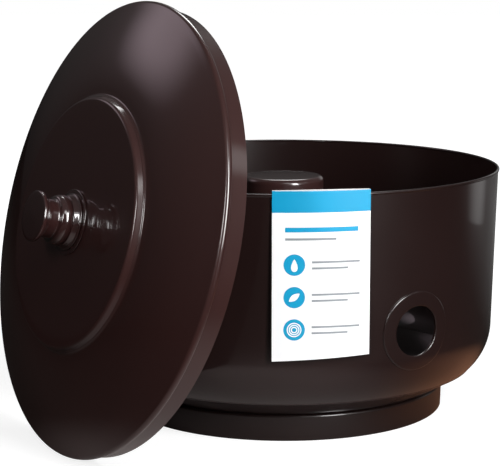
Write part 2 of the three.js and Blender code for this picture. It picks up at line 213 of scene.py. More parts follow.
bowl_outline = [
    (DRAIN, UNDERSIDE),
    *arc(*floor_round_at, FLOOR_ROUND, -90, -90 + foot_slope, 4),
    *line(foot_edge, ridge[0], FOOT_STEPS),
    *ridge,
    *outer_corner,
    *line(outer_corner[-1], bead[0], WALL_STEPS),
    *bead,
    *line(bead[-1], inner_corner[0], WALL_STEPS),
    *inner_corner,
    *line(inner_corner[-1], inner_edge, FOOT_STEPS),
    inner_edge,
    (DRAIN, floor_top),
    (DRAIN, UNDERSIDE),
]
bowl = turned("bowl", bowl_outline, steps=240)
print("bowl faces before the cut:", len(bowl.data.polygons))

# %% [markdown]
# ## The hose hole
#
# The hose leaves through a hole with a low pressed boss round it. A boss pressed straight
# into the wall's faces would leave dents in its shading. So the boss is turned as a small
# ring of its own, laid onto the curved wall point by point, and the wall is cut underneath
# it, where the cut can't be seen. On the real pot both are the same sheet.

# %% Cut the wall
HOLE = 25.5
HOLE_HEIGHT = 117.5
HOLE_TURN = math.radians(35.9)
CUT_WIDER = 5
CUT_DEPTH = 40

hole_outwards = Vector((math.sin(HOLE_TURN), -math.cos(HOLE_TURN), 0))
bpy.ops.object.select_all(action="DESELECT")
bpy.ops.mesh.primitive_cylinder_add(
    vertices=64,
    radius=(HOLE + CUT_WIDER) * MM,
    depth=CUT_DEPTH * MM,
    location=hole_outwards * RIM_RADIUS * MM + Vector((0, 0, HOLE_HEIGHT * MM)),
    rotation=(math.pi / 2, 0, HOLE_TURN),
)
cutter = bpy.context.object
select_only(bowl)
cut = bowl.modifiers.new("hose hole", "BOOLEAN")
cut.operation = "DIFFERENCE"
cut.object = cutter
bpy.ops.object.modifier_apply(modifier=cut.name)
bpy.data.objects.remove(cutter)
bpy.ops.object.shade_smooth_by_angle(angle=SMOOTH_BELOW)
print("bowl faces after the cut:", len(bowl.data.polygons))

# %% Lay the boss on the wall
BOSS = 40.5
BOSS_RISE = 1.6
BOSS_ROUND = 1.4
HOLE_ROUND = 1.2
BACK_ROUND = 0.8
BACK_CHAMFER = 0.4
BOSS_BEHIND = 0.3


def wall_surface(height):
    """Outside radius of the bowl at a height, on the wall or on its rounded corner."""
    rise = height - CORNER_HEIGHT
    if rise >= 0:
        return corner_centre + CORNER / math.cos(lean) + rise * math.tan(lean)
    return corner_centre + math.sqrt(CORNER**2 - rise**2)


inside = SHEET + BOSS_BEHIND
boss_outline = [
    *arc(BOSS - BOSS_ROUND, BOSS_RISE - BOSS_ROUND, BOSS_ROUND, 0, 90, 8),
    *line((BOSS - BOSS_ROUND, BOSS_RISE), (HOLE + HOLE_ROUND, BOSS_RISE), 8),
    *arc(HOLE + HOLE_ROUND, BOSS_RISE - HOLE_ROUND, HOLE_ROUND, 90, 180, 6),
    *arc(HOLE + BACK_ROUND, BACK_ROUND - inside, BACK_ROUND, 180, 270, 4),
    *line((HOLE + BACK_ROUND, -inside), (BOSS - BACK_CHAMFER, -inside), 8),
    (BOSS - BACK_CHAMFER, -inside),
    (BOSS, -SHEET),
    (BOSS, BOSS_RISE - BOSS_ROUND),
]
boss = turned("boss", boss_outline, steps=96)
for vertex in boss.data.vertices:
    across, up, out = vertex.co.x / MM, vertex.co.y / MM, vertex.co.z / MM
    height = HOLE_HEIGHT + up
    turn = HOLE_TURN + across / wall_surface(HOLE_HEIGHT)
    radius = wall_surface(height) + out
    vertex.co = Vector((radius * math.sin(turn), -radius * math.cos(turn), height)) * MM

select_only(boss, bowl)
bpy.ops.object.join()
dressed(bowl, "pot", "bowl_paint", "bowl_shell")

# %% [markdown]
# ## The base ring
#
# The bowl stands on an upright ring of thicker sheet. Its shoulder is rounded, and tucks in
# under the bowl, which leaves the dark line between the two.

# %% Base ring
FOOT = 173.5
FOOT_CHAMFER = 0.6
SHOULDER = 174.2
SHOULDER_ROUND = 2.5
RING_SHEET = 2
FOOT_LIP = 8
FLANGE = 118
GAP = 0.3

ring_top = UNDERSIDE - GAP
shoulder_at = (SHOULDER - SHOULDER_ROUND, ring_top - SHOULDER_ROUND)
ring_outline = [
    (FOOT - FOOT_LIP, 0),
    (FOOT - FOOT_CHAMFER, 0),
    (FOOT, FOOT_CHAMFER),
    *arc(*shoulder_at, SHOULDER_ROUND, 0, 90, 10),
    (FLANGE, ring_top),
    (FLANGE, ring_top - RING_SHEET),
    *arc(*shoulder_at, SHOULDER_ROUND - RING_SHEET, 90, 0, 4),
    (FOOT - RING_SHEET, RING_SHEET),
    (FOOT - FOOT_LIP, RING_SHEET),
    (FOOT - FOOT_LIP, 0),
]
base_ring = turned("base_ring_fine", ring_outline)
dressed(base_ring, "pot", "base_paint", "base_ring")

# %% [markdown]
# ## The centre post
#
# The hose is wound round a pressed cup, turned over and bolted down by its flange. Its top is
# slightly crowned, and the rounded shoulder catches two small highlights.

# %% Centre post
POST = 44
POST_TOP = 250.5
POST_CROWN = 1.2
POST_SHOULDER = 6
POST_SHEET = 1.5
POST_FLANGE = 62
POST_FILLET = 2

post_foot = floor_top + GAP
post_fillet_at = (POST + POST_FILLET, post_foot + POST_SHEET + POST_FILLET)
post_shoulder_at = (POST - POST_SHOULDER, POST_TOP - POST_CROWN - POST_SHOULDER)
post_outline = [
    (POST - POST_SHEET, post_foot),
    (POST_FLANGE, post_foot),
    (POST_FLANGE, post_foot + POST_SHEET),
    *arc(*post_fillet_at, POST_FILLET, 270, 180, 6),
    *arc(*post_shoulder_at, POST_SHOULDER, 0, 90, 14),
    (0, POST_TOP),
    (0, POST_TOP - POST_SHEET),
    *arc(*post_shoulder_at, POST_SHOULDER - POST_SHEET, 90, 0, 8),
    (POST - POST_SHEET, post_foot),
]
post = turned("post", post_outline, steps=128)
dressed(post, "pot", "post_paint", "centre_post")

# %% [markdown]
# ## The lid
#
# The lid is domed, with a flat disc raised on a rounded step in its middle, a broadly rounded
# lip and a skirt below it. Shut, its lip lies on the pot's rim and its skirt hangs inside. It
# is turned flat on the lathe, and then stood on its skirt's edge in the frame's own place: a
# point on the ground, a turn and a lean.

# %% Where the lid stands
SKIRT_DEPTH = 22.6
SKIRT_EDGE = 223.4
LID_LEAN = math.radians(13.7)
LID_TURN = math.radians(31.9)
LID_FOOT = Vector((-203.3, -212.4, 0))

outwards = Vector((-math.cos(LID_TURN), -math.sin(LID_TURN), 0))
lid_axis = outwards * math.cos(LID_LEAN) + Vector((0, 0, math.sin(LID_LEAN)))
lid_up = Vector((0, 0, math.cos(LID_LEAN))) - outwards * math.sin(LID_LEAN)
lid_centre = LID_FOOT + lid_up * SKIRT_EDGE + lid_axis * SKIRT_DEPTH
lid_tilt = Vector((0, 0, 1)).rotation_difference(lid_axis).to_matrix().to_4x4()
lid_place = Matrix.Translation(lid_centre * MM) @ lid_tilt
print("lid centre in mm:", [round(v, 1) for v in lid_centre])

# %% Lid outline
LID_LIP = 227.4
LIP_ROUND = 4
LIP_TOP = 2.5
LIP_TUCK = 1
SKIRT_TOP = 224.2
SKIRT_EASE = 0.1
SKIRT_CHAMFER = 0.3
DOME_RISE = 26
DOME_CURVE = 1.5
DOME_STEPS = 32
DISC = 125
DISC_ROUND = 4
DISC_CROWN = 1
DISC_FLAT = 22
STEP_WIDTH = 5
STEP_RISE = 9
STEP_FILLET = 3.2
STEP_SLOPE_OUT, STEP_SLOPE_UP = 1.2, 2.6
KNOB_BORE = 3.3

lip_at = LID_LIP - LIP_ROUND
step_foot = DISC + STEP_WIDTH
disc_height = DOME_RISE + STEP_RISE
lid_top = disc_height + DISC_CROWN


def dome(share):
    """A point of the dome, from the step's foot to the lip as share goes from 0 to 1."""
    return (
        step_foot + (lip_at - step_foot) * share,
        LIP_TOP + (DOME_RISE - LIP_TOP) * (1 - share**DOME_CURVE),
    )


lid_outside = [
    (KNOB_BORE, lid_top),
    (DISC_FLAT, lid_top),
    *line((DISC_FLAT, lid_top), (DISC - DISC_ROUND, disc_height), 12),
    *arc(DISC - DISC_ROUND, disc_height - DISC_ROUND, DISC_ROUND, 90, 15, 8),
    (DISC + STEP_SLOPE_OUT, DOME_RISE + STEP_SLOPE_UP),
    *arc(step_foot, DOME_RISE + STEP_FILLET, STEP_FILLET, 200, 268, 5),
    *[dome(i / DOME_STEPS) for i in range(1, DOME_STEPS)],
    *arc(lip_at, LIP_TOP - LIP_ROUND, LIP_ROUND, 70, -50, 16),
    (SKIRT_TOP + SKIRT_EASE, -LIP_ROUND - LIP_TUCK),
    *line((SKIRT_TOP, -LIP_ROUND - 2 * LIP_TUCK), (SKIRT_EDGE, -SKIRT_DEPTH), 4),
    (SKIRT_EDGE, -SKIRT_DEPTH + SKIRT_CHAMFER),
]
print("points on the lid's outside:", len(lid_outside))

# %% Lid
LID_SHEET = 1.2


def beside(outline, distance):
    """An open outline moved sideways, which gives a sheet its other face."""
    moved = []
    for i, (x, y) in enumerate(outline):
        before, after = outline[max(i - 1, 0)], outline[min(i + 1, len(outline) - 1)]
        along = (Vector(after) - Vector(before)).normalized()
        moved.append((x + along.y * distance, y - along.x * distance))
    return moved


lid_inside = beside(lid_outside, LID_SHEET)[::-1]
lid_edge = [(SKIRT_EDGE - LID_SHEET / 2, -SKIRT_DEPTH)]
lid = turned("lid", lid_outside + lid_edge + lid_inside + [lid_outside[0]], steps=256)
settled(lid, lid_place)
dressed(lid, "lid", "lid_paint", "lid_shell")

# %% [markdown]
# ## The knob
#
# The knob is turned from solid metal and sits on a thin rose plate. From the plate outwards
# it has a fine foot bead, a steep collar, a groove, a broad roll, a waisted neck, and a cap
# with a hollow underside that a hand closes on. Each edge is an arc of its own, because every
# arc mirrors the lamps once and so adds one small highlight to the row.

# %% Rose
ROSE = 32.5
ROSE_HEIGHT = 1.8
ROSE_ROUND = 0.7

rose_seat = lid_top + GAP
rose_top = rose_seat + ROSE_HEIGHT
rose_outline = [
    (KNOB_BORE, rose_seat),
    (ROSE, rose_seat),
    *arc(ROSE - ROSE_ROUND, rose_top - ROSE_ROUND, ROSE_ROUND, 0, 90, 6),
    (KNOB_BORE, rose_top),
    (KNOB_BORE, rose_seat),
]
rose = settled(turned("rose", rose_outline, steps=96), lid_place)
dressed(rose, "lid", "knob_paint", "knob_rose")

# %% Foot and collar of the knob
KNOB_FOOT = 28.2
FOOT_BEAD = 1
FOOT_FILLET = 1
FOOT_FILLET_IN, FOOT_FILLET_UP = 0.8, 3
COLLAR = 25.2
COLLAR_HEIGHT = 7.8
COLLAR_ROUND = 0.9
COLLAR_FOOT_IN, COLLAR_FOOT_UP = 1.9, 3.2
COLLAR_EASE = 1
GROOVE = 0.8
GROOVE_UP = 0.1

knob_seat = rose_top + GAP
collar_foot = (KNOB_FOOT - COLLAR_FOOT_IN, knob_seat + COLLAR_FOOT_UP)
collar_top = knob_seat + COLLAR_HEIGHT
knob_low = [
    (0, knob_seat),
    *arc(KNOB_FOOT - FOOT_BEAD, knob_seat + FOOT_BEAD, FOOT_BEAD, -90, 75, 9),
    *arc(KNOB_FOOT - FOOT_FILLET_IN, knob_seat + FOOT_FILLET_UP, FOOT_FILLET, 265, 185, 6),
    *line(collar_foot, (COLLAR, collar_top - COLLAR_EASE), 4),
    *arc(COLLAR - COLLAR_ROUND, collar_top - COLLAR_ROUND, COLLAR_ROUND, 15, 90, 7),
    (COLLAR - GROOVE - COLLAR_ROUND, collar_top + GROOVE_UP),
]
print("the collar ends", round(collar_top - lid_top, 1), "mm above the disc")

# %% Roll and neck
ROLL = 11
ROLL_IN, ROLL_UP = 0.3, 4
ROLL_START, ROLL_END = -18, 32
ROLL_TOP = 3
ROLL_TOP_OUT, ROLL_TOP_UP = 6.8, 4.3
NECK = 19
NECK_FILLET = 1.5
NECK_UP = 8.9
NECK_HOLLOW = 9
NECK_BEAD = 0.5
NECK_BEAD_OUT = 1.1
KNOB_HEIGHT = 39.4
CAP_HEIGHT = 4.8
FLARE_BELOW_CAP = 3.4
FLARE_LENGTH = 5

cap_top = knob_seat + KNOB_HEIGHT
cap_bottom = cap_top - CAP_HEIGHT
flare = cap_bottom - FLARE_BELOW_CAP
neck_top = flare - FLARE_LENGTH
roll_at = (COLLAR - ROLL - ROLL_IN, collar_top + ROLL_UP)
neck_low = roll_at[1] + NECK_UP
knob_middle = [
    *arc(*roll_at, ROLL, ROLL_START, ROLL_END, 16),
    *arc(roll_at[0] + ROLL_TOP_OUT, roll_at[1] + ROLL_TOP_UP, ROLL_TOP, ROLL_END, 80, 6),
    *arc(NECK + NECK_FILLET, neck_low, NECK_FILLET, 240, 180, 5),
    *line((NECK, neck_low), (NECK, neck_top), 3),
    *arc(NECK + NECK_HOLLOW, neck_top, NECK_HOLLOW, 180, 155, 5),
    *arc(NECK + NECK_BEAD_OUT, flare, NECK_BEAD, -30, 60, 4),
]
print("the neck is", round(neck_top - neck_low, 1), "mm long")

# %% Cap and knob
CAP = 25
CAP_ROUND = 1.2
CAP_CROWN = 0.7
CAP_HOLLOW = 4.2
CAP_HOLLOW_IN, CAP_HOLLOW_DOWN = 1, 0.6

cap_side = CAP - CAP_ROUND
knob_cap = [
    *arc(CAP - CAP_HOLLOW_IN, flare - CAP_HOLLOW_DOWN, CAP_HOLLOW, 165, 112, 6),
    *arc(cap_side, cap_bottom + CAP_ROUND, CAP_ROUND, -70, 0, 5),
    *arc(cap_side, cap_top - CAP_CROWN - CAP_ROUND, CAP_ROUND, 0, 85, 8),
    *line((cap_side, cap_top - CAP_CROWN), (0, cap_top), 6),
    (0, cap_top),
]
knob = settled(turned("turned_knob", knob_low + knob_middle + knob_cap, steps=96), lid_place)
dressed(knob, "lid", "knob_paint", "knob")

# %% [markdown]
# ## The card
#
# A printed card hooks over the rim. It is one folded sheet, bent to the wall, so its section
# is spun through only the card's own width. Its lower end is cut at a slight slant, which is
# put in afterwards by lifting the lowest points. The printing is a design of this lesson's
# own: a band of colour, three round signs and plain rules.

# %% Card section
CARD_WIDTH = 97
CARD_LENGTH = 165.4
CARD_SHEET = 0.8
CARD_FLAP = 32
CARD_FOLD_RISE = 2.4
CARD_FOLD_ROUND = 0.6
FOLD_STAYS = (1.6, 1.1)
BAND = 21

card_inner = RIM_RADIUS - 2 * BEAD - 2 * GAP
card_outer = RIM_RADIUS + GAP
card_under = RIM_HEIGHT + CARD_FOLD_RISE
card_top = card_under + CARD_SHEET
card_face = card_outer + CARD_SHEET
card_low = card_top - CARD_LENGTH
card_outline = [
    (card_outer, card_low),
    (card_face, card_low),
    *line((card_face, card_low), (card_face, card_top - BAND), 4),
    *[(card_face, card_top - below) for below in (BAND, *FOLD_STAYS)],
    *arc(card_face - CARD_FOLD_ROUND, card_top - CARD_FOLD_ROUND, CARD_FOLD_ROUND, 0, 90, 4),
    (card_inner - CARD_SHEET, card_top),
    (card_inner - CARD_SHEET, card_top - CARD_FLAP),
    (card_inner, card_top - CARD_FLAP),
    (card_inner, card_under),
    (card_outer, card_under),
    (card_outer, card_low),
]
print("the card hangs down to", round(card_low, 1), "mm")

# %% Card sheet
CARD_END_SLANT = 4.5
CARD_END_DEPTH = 1
CARD_TURN = 9.3

card_spread = math.degrees(CARD_WIDTH / RIM_RADIUS)
card = turned("card", card_outline, steps=32, angle=card_spread)
bpy.ops.object.mode_set(mode="EDIT")
bpy.ops.mesh.select_mode(type="EDGE")
bpy.ops.mesh.select_all(action="DESELECT")
bpy.ops.mesh.select_non_manifold()
bpy.ops.mesh.fill()
bpy.ops.mesh.select_all(action="SELECT")
bpy.ops.mesh.normals_make_consistent(inside=False)
bpy.ops.mesh.select_mode(type="VERT")
bpy.ops.object.mode_set(mode="OBJECT")
for vertex in card.data.vertices:
    share = 0.5 + math.degrees(math.atan2(vertex.co.y, vertex.co.x)) / card_spread
    if vertex.co.z < (card_low + CARD_END_DEPTH) * MM:
        vertex.co.z += CARD_END_SLANT * share * MM
settled(card, Matrix.Rotation(math.radians(CARD_TURN + card_spread / 2 - 90), 4, "Z"))
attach(card, "card")
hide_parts("label_card")
print("card faces:", len(card.data.polygons))

# %% [markdown]
# The signs and rules are printed ink. Thin flat shapes are drawn upright at a drawing board,
# card-width by card-height, and then laid on the bent face by turning each point's distance
# across the card into an angle about the pot. Each layer of ink stands a few hundredths of a
# millimetre above the one below it, so that no two faces share a place.

# %% Printing helpers
INK_RISE = 0.04
STRIP = 3
prints = []


def laid_on_card(piece, layer=1):
    """Wraps a shape drawn in X (across) and Z (down from the top) onto the card's face."""
    for vertex in piece.data.vertices:
        across, down = vertex.co.x / MM, vertex.co.z / MM
        turn = math.radians(CARD_TURN) + across / card_face
        radius = card_face + INK_RISE * layer
        spot = (radius * math.sin(turn), -radius * math.cos(turn), card_top + down)
        vertex.co = Vector(spot) * MM
    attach(piece, "card")
    prints.append(piece)


def flat_shape(name, points):
    """A filled outline on the drawing board, cut in strips so that it bends with the card."""
    mesh = bpy.data.meshes.new(name)
    mesh.from_pydata([(x * MM, 0, z * MM) for x, z in points], [], [range(len(points))])
    piece = bpy.data.objects.new(name, mesh)
    bpy.context.collection.objects.link(piece)
    select_only(piece)
    bpy.ops.object.mode_set(mode="EDIT")
    low, high = min(x for x, z in points), max(x for x, z in points)
    for i in range(1, math.ceil((high - low) / STRIP)):
        bpy.ops.mesh.select_all(action="SELECT")
        bpy.ops.mesh.bisect(plane_co=((low + i * STRIP) * MM, 0, 0), plane_no=(1, 0, 0))
    bpy.ops.object.mode_set(mode="OBJECT")
    return piece


def turns(count):
    """Evenly spaced angles of one full turn."""
    return [math.tau * i / count for i in range(count)]


def round_points(x, z, radius):
    """Points round a circle."""
    return [(x + radius * math.cos(t), z + radius * math.sin(t)) for t in turns(40)]


def bar_points(x, z, width, height):
    """A bar's four corners."""
    return [(x, z), (x + width, z), (x + width, z + height), (x, z + height)]


print("the face is at radius", round(card_face, 1), "mm")

# %% Discs and rules
SIGN = 10.5
SIGN_ACROSS = -27
SIGN_DOWN = (-72, -104, -136)
SIGN_NAMES = ("drop", "leaf", "coil")
RULE_WIDTHS = (48, 36)
RULE_THICK = 2
RULE_ACROSS = SIGN_ACROSS + 17
RULE_UP = 1.5
RULE_STEP = 6
TITLE_BAR = (-36, -40, 72, 4.6)
SUBTITLE_BAR = (-36, -48, 50, 2.2)

discs, rules = [], []
for name, down in zip(SIGN_NAMES, SIGN_DOWN):
    discs.append(flat_shape(f"sign_{name}", round_points(SIGN_ACROSS, down, SIGN)))
    for i, width in enumerate(RULE_WIDTHS):
        bar = bar_points(RULE_ACROSS, down + RULE_UP - RULE_STEP * i, width, RULE_THICK)
        rules.append(flat_shape(f"rule_{name}_{i + 1}", bar))
print("discs:", len(discs), "rules:", len(rules))

# %% Marks on the discs
DROP_WIDTH, DROP_HEIGHT, DROP_DOWN = 4.2, 6.4, 0.4
LEAF_LENGTH, LEAF_WIDTH = 6.6, 3.0
LEAF_SLANT = (0.8, 0.6)
MARK_POINTS = 36
COIL_RINGS = (7.2, 5.2, 3.2)
COIL_LINE = 1.1

drop_down, leaf_down, coil_down = SIGN_DOWN
drop = [
    (
        SIGN_ACROSS + DROP_WIDTH * math.sin(t) * math.sin(t / 2),
        drop_down + DROP_HEIGHT * math.cos(t) - DROP_DOWN,
    )
    for t in turns(MARK_POINTS)
]
leaf = []
for t in turns(MARK_POINTS):
    along = LEAF_LENGTH * math.cos(t)
    aside = LEAF_WIDTH * math.sin(t) * abs(math.sin(t))
    right, up = LEAF_SLANT
    leaf.append((SIGN_ACROSS + along * right - aside * up, leaf_down + along * up + aside * right))

white_marks = [flat_shape("mark_drop", drop), flat_shape("mark_leaf", leaf)]
teal_marks = []
for i, radius in enumerate(COIL_RINGS):
    ring = round_points(SIGN_ACROSS, coil_down, radius)
    core = round_points(SIGN_ACROSS, coil_down, radius - COIL_LINE)
    white_marks.append(flat_shape(f"mark_coil_{i + 1}", ring))
    teal_marks.append(flat_shape(f"core_coil_{i + 1}", core))
title = flat_shape("title_rule", bar_points(*TITLE_BAR))
subtitle = flat_shape("subtitle_rule", bar_points(*SUBTITLE_BAR))
print("marks:", len(white_marks) + len(teal_marks))

# %% Lay the ink on
for piece in [*discs, title]:
    laid_on_card(piece)
for piece in [*rules, subtitle]:
    laid_on_card(piece)
for piece in white_marks[:2]:
    laid_on_card(piece, layer=2)
for i, (ring, core) in enumerate(zip(white_marks[2:], teal_marks)):
    laid_on_card(ring, layer=2 + 2 * i)
    laid_on_card(core, layer=3 + 2 * i)
print("printed shapes:", len(prints))

# %% [markdown]
# ## Finishes
#
# Each finish starts from what the real surface is. A small function turns a colour as it is
# picked on screen into the linear values that Blender mixes, and another adds a node.

# %% Material helpers
def colour(code):
    """A linear colour from a six-digit screen colour."""
    screen = [int(code[i : i + 2], 16) / 255 for i in (0, 2, 4)]
    linear = [s / 12.92 if s <= 0.04045 else ((s + 0.055) / 1.055) ** 2.4 for s in screen]
    return (*linear, 1)


def add_node(material, kind, values=None, links=None, **settings):
    """Adds one node, sets its fields and inputs, and links its inputs to outputs."""
    made = material.node_tree.nodes.new(kind)
    for name, value in settings.items():
        setattr(made, name, value)
    for name, value in (values or {}).items():
        made.inputs[name].default_value = value
    for name, output in (links or {}).items():
        material.node_tree.links.new(output, made.inputs[name])
    return made


def new_material(name):
    """An empty material and its output node."""
    material = bpy.data.materials.new(name)
    material.use_nodes = True
    material.node_tree.nodes.clear()
    return material, add_node(material, "ShaderNodeOutputMaterial")


# A Mix node has hidden inputs for plain numbers, so its colours are inputs 6 and 7, output 2.
MIX_A, MIX_B, MIXED = 6, 7, 2
print("brown as linear:", [round(v, 4) for v in colour("2b211e")])

# %% [markdown]
# ### Powder coat on steel
#
# The pot is sprayed with dark brown powder, which melts to a glossy skin with a faint orange
# peel. The eye reads three things: a brown so dark that it is nearly all reflection, crisp
# highlights with a softer glow round them, and a slight waviness. One roughness can't give
# both the crisp and the soft, so a clear, smooth film lies over a rougher coloured base. The
# film is thinner on the base ring. On the enamelled knob its index is higher, so that it
# mirrors more.
#
# The real peel is about 2 mm from crest to crest, close to one pixel here, so it is drawn at
# 5 mm and very shallow. Handling leaves patches a hand's width across that are a bit duller.

# %% Powder coat
PEEL_MM = 5
PEEL_DEPTH_MM = 0.05
PATCH_MM = 90
PATCH_LOW, PATCH_HIGH = 0.3, 0.7
PATCH_DULLER = 0.03
BASE_SHINE = 0.3
FILM_ROUGHNESS = 0.05


def powder_coat(name, dark, light, roughness, peel, film=1, film_ior=1.5):
    """Powder coat: two close browns, patchy gloss, an orange peel and a clear film on top."""
    material, output = new_material(name)
    place = add_node(material, "ShaderNodeTexCoord").outputs["Object"]
    patches = add_node(
        material,
        "ShaderNodeTexNoise",
        {"Scale": 1000 / PATCH_MM, "Detail": 3, "Roughness": 0.6},
        {"Vector": place},
    ).outputs["Fac"]
    tint = add_node(
        material,
        "ShaderNodeMix",
        {MIX_A: colour(dark), MIX_B: colour(light)},
        {0: patches},
        data_type="RGBA",
    ).outputs[MIXED]
    gloss = add_node(
        material,
        "ShaderNodeMapRange",
        {
            "From Min": PATCH_LOW,
            "From Max": PATCH_HIGH,
            "To Min": roughness,
            "To Max": roughness + PATCH_DULLER,
        },
        {"Value": patches},
    ).outputs["Result"]
    crests = add_node(
        material,
        "ShaderNodeTexNoise",
        {"Scale": 1000 / PEEL_MM, "Detail": 2},
        {"Vector": place},
    ).outputs["Fac"]
    bump = add_node(
        material,
        "ShaderNodeBump",
        {"Strength": peel, "Distance": PEEL_DEPTH_MM * MM},
        {"Height": crests},
    ).outputs["Normal"]
    paint = add_node(
        material,
        "ShaderNodeBsdfPrincipled",
        {
            "Specular IOR Level": BASE_SHINE,
            "Coat Weight": film,
            "Coat Roughness": FILM_ROUGHNESS,
            "Coat IOR": film_ior,
        },
        {"Base Color": tint, "Roughness": gloss, "Normal": bump},
    )
    material.node_tree.links.new(paint.outputs["BSDF"], output.inputs["Surface"])
    return material


# The bowl, base ring, post and lid wear one powder coat. The base ring's copy is painted darker,
# as painted shade under the bowl; the post's and the lid's copies are painted lighter, as painted
# light.
bowl_paint = powder_coat("powder_coat_bowl", "1b0f0e", "1f1211", 0.3, 0.1)
base_paint = powder_coat("powder_coat_base", "160d0c", "1a100f", 0.32, 0.1, film=0.4)
post_paint = powder_coat("powder_coat_post", "33201e", "382322", 0.28, 0.1)
lid_paint = powder_coat("powder_coat_lid", "2f1b1a", "351f1d", 0.3, 0.1)
knob_paint = powder_coat("gloss_enamel_knob", "2a1716", "2f1a19", 0.2, 0.04, film_ior=2)
print("nodes in one paint:", len(bowl_paint.node_tree.nodes))

# %% [markdown]
# ### Zinc plate, board and ink
#
# The bolts are zinc plated, a grey metal with a fine tumbled grain. The card is coated
# board: white, with a soft sheen. Its inks lie in the coating and shine a little more.

# %% Zinc plate
GRAIN_MM = 0.8
ZINC_SMOOTH, ZINC_ROUGH = 0.3, 0.5

zinc_plate, zinc_output = new_material("zinc_plated_steel")
zinc_place = add_node(zinc_plate, "ShaderNodeTexCoord").outputs["Object"]
grain = add_node(
    zinc_plate,
    "ShaderNodeTexNoise",
    {"Scale": 1000 / GRAIN_MM, "Detail": 4},
    {"Vector": zinc_place},
).outputs["Fac"]
tumbled = add_node(
    zinc_plate,
    "ShaderNodeMapRange",
    {"To Min": ZINC_SMOOTH, "To Max": ZINC_ROUGH},
    {"Value": grain},
).outputs["Result"]
plated = add_node(
    zinc_plate,
    "ShaderNodeBsdfPrincipled",
    {"Base Color": colour("b9bcbf"), "Metallic": 1},
    {"Roughness": tumbled},
)
zinc_plate.node_tree.links.new(plated.outputs["BSDF"], zinc_output.inputs["Surface"])
print("zinc's roughness:", ZINC_SMOOTH, "to", ZINC_ROUGH)

# %% Board and inks
FIBRE_MM = 1.5
FIBRE_DEPTH_MM = 0.05
FIBRE_STRENGTH = 0.15


def coated_board(name, code, roughness):
    """Coated board, bare or inked: a flat colour, faint fibres and a soft sheen."""
    material, output = new_material(name)
    place = add_node(material, "ShaderNodeTexCoord").outputs["Object"]
    fibres = add_node(
        material, "ShaderNodeTexNoise", {"Scale": 1000 / FIBRE_MM, "Detail": 3}, {"Vector": place}
    ).outputs["Fac"]
    bump = add_node(
        material,
        "ShaderNodeBump",
        {"Strength": FIBRE_STRENGTH, "Distance": FIBRE_DEPTH_MM * MM},
        {"Height": fibres},
    ).outputs["Normal"]
    surface = add_node(
        material,
        "ShaderNodeBsdfPrincipled",
        {"Base Color": colour(code), "Roughness": roughness},
        {"Normal": bump},
    )
    material.node_tree.links.new(surface.outputs["BSDF"], output.inputs["Surface"])
    return material


white_board = coated_board("white_coated_board", "f5f6f7", 0.5)
teal_ink = coated_board("teal_ink", "009ac8", 0.42)
grey_ink = coated_board("grey_ink", "8b9196", 0.45)
print("materials:", len(bpy.data.materials))

# %% [markdown]
# ## Giving each piece its finish
#
# The turned pieces take one finish each. The card takes two: the faces above the band's lower
# edge are inked. Bolts, nuts and washer keep the frame's shapes, which are right as they are.

# %% Finish the turned pieces
finishes = {
    bowl: bowl_paint,
    base_ring: base_paint,
    post: post_paint,
    lid: lid_paint,
    rose: knob_paint,
    knob: knob_paint,
}
for piece, material in finishes.items():
    piece.data.materials.clear()
    piece.data.materials.append(material)

zinc_words = ("bolt", "nut", "washer")
zinc_nodes = [n for name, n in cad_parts.items() if any(w in name for w in zinc_words)]
for node in zinc_nodes:
    node.data.materials.clear()
    node.data.materials.append(zinc_plate)
print("painted pieces:", len(finishes), "zinc nodes:", len(zinc_nodes))

# %% Finish the card and its printing
card.data.materials.clear()
card.data.materials.append(white_board)
card.data.materials.append(teal_ink)
inked = 0
for face in card.data.polygons:
    out = math.hypot(face.center.x, face.center.y) / MM
    if face.center.z / MM > card_top - BAND and out > card_outer + CARD_SHEET / 2:
        face.material_index = 1
        inked += 1

for pieces, ink in (
    ([*discs, *teal_marks, title], teal_ink),
    (white_marks, white_board),
    ([*rules, subtitle], grey_ink),
):
    for piece in pieces:
        piece.data.materials.append(ink)
print("inked faces of the band:", inked)

# %% [markdown]
# ## Floor, world and lamps
#
# Glossy dark paint shows little of itself: it shows what it mirrors. So the floor and the
# world are made twice. The camera sees both white, as in the picture, with a soft shadow on
# the floor. The paint sees a dark floor and a dim world instead, with light only where the
# picture's highlights ask for it. The Light Path node tells the two apart.

# %% Floor
FLOOR_SIZE = 12
FLOOR_FORWARD = 3
FLOOR_DROP = 0.0002

bpy.ops.object.select_all(action="DESELECT")
bpy.ops.mesh.primitive_plane_add(size=FLOOR_SIZE, location=(0, FLOOR_FORWARD, -FLOOR_DROP))
floor = bpy.context.object
floor.name = "floor"

floor_white, floor_output = new_material("floor_white")
seen = add_node(floor_white, "ShaderNodeLightPath").outputs["Is Camera Ray"]
floor_place = add_node(floor_white, "ShaderNodeTexCoord").outputs["Object"]
print("the floor ends", FLOOR_SIZE / 2 + FLOOR_FORWARD, "m behind the pot")

# %% [markdown]
# The floor that the paint mirrors is painted nearly black, as painted shade. A weak pale
# sweep of painted light begins behind the pot, on the right. Two soft round pools of painted
# light lie nearer: a pale one in front, which lifts the bowl's rounded corner out of the dark,
# and a warm one at its right, for the brown glow low down.

# %% The mirrored floor
SWEEP_NEAR, SWEEP_FAR = 0.25, 1.2
SWEEP_LEFT, SWEEP_RIGHT = -0.5, 0.1
SWEEP_LEVEL = 0.25
PAINTED_LIGHT_POOLS = (
    ((-0.04, -0.3), 0.34, 0.06, "d8ccca", 0.6),
    ((0.26, -0.06), 0.24, 0.04, "c08566", 0.65),
)

